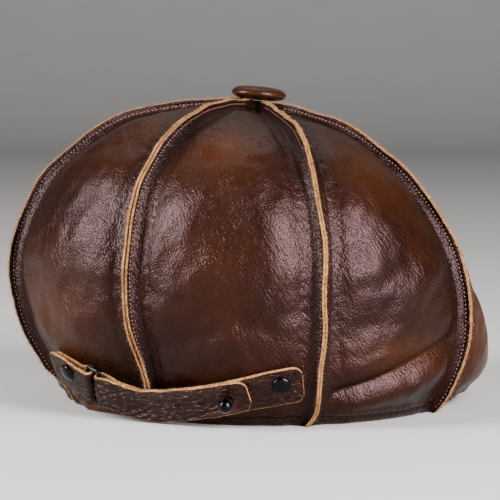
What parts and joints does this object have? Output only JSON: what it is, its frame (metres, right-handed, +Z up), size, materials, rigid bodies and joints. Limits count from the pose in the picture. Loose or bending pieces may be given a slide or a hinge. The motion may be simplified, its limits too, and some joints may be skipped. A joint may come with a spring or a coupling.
{
  "type": "leather newsboy cap",
  "caption": "Baker boy cap of gored brown leather with raw-edged standing seams, covered button, short peak and a riveted adjusting strap at the back.",
  "frame": {"origin": "middle of the cap's footprint, on the plane that its rim rests on", "axes": "+Z up, the front with the peak looks along -Y, the wearer's right is -X"},
  "size_m": [0.237, 0.275, 0.1561],
  "materials": {
    "crown_leather": "glossy",
    "strap_leather": "glossy",
    "peak_leather": "glossy",
    "button_leather": "glossy",
    "black_metal": "glossy",
    "plain_brass": "satin"
  },
  "bodies": {
    "root": {"crown_panel_0": "crown_leather", "crown_panel_1": "crown_leather", "crown_panel_2": "crown_leather", "crown_panel_3": "crown_leather", "crown_panel_4": "crown_leather", "crown_panel_5": "crown_leather", "crown_panel_6": "crown_leather", "crown_panel_7": "crown_leather", "peak": "peak_leather", "top_button": "button_leather", "button_post": "plain_brass", "anchor_tab": "strap_leather", "back_strap": "strap_leather", "stud_strap": "strap_leather", "strap_loop": "black_metal", "anchor_rivet": "black_metal", "stud_rivet": "black_metal", "closing_stud": "black_metal"}
  },
  "joints": []
}
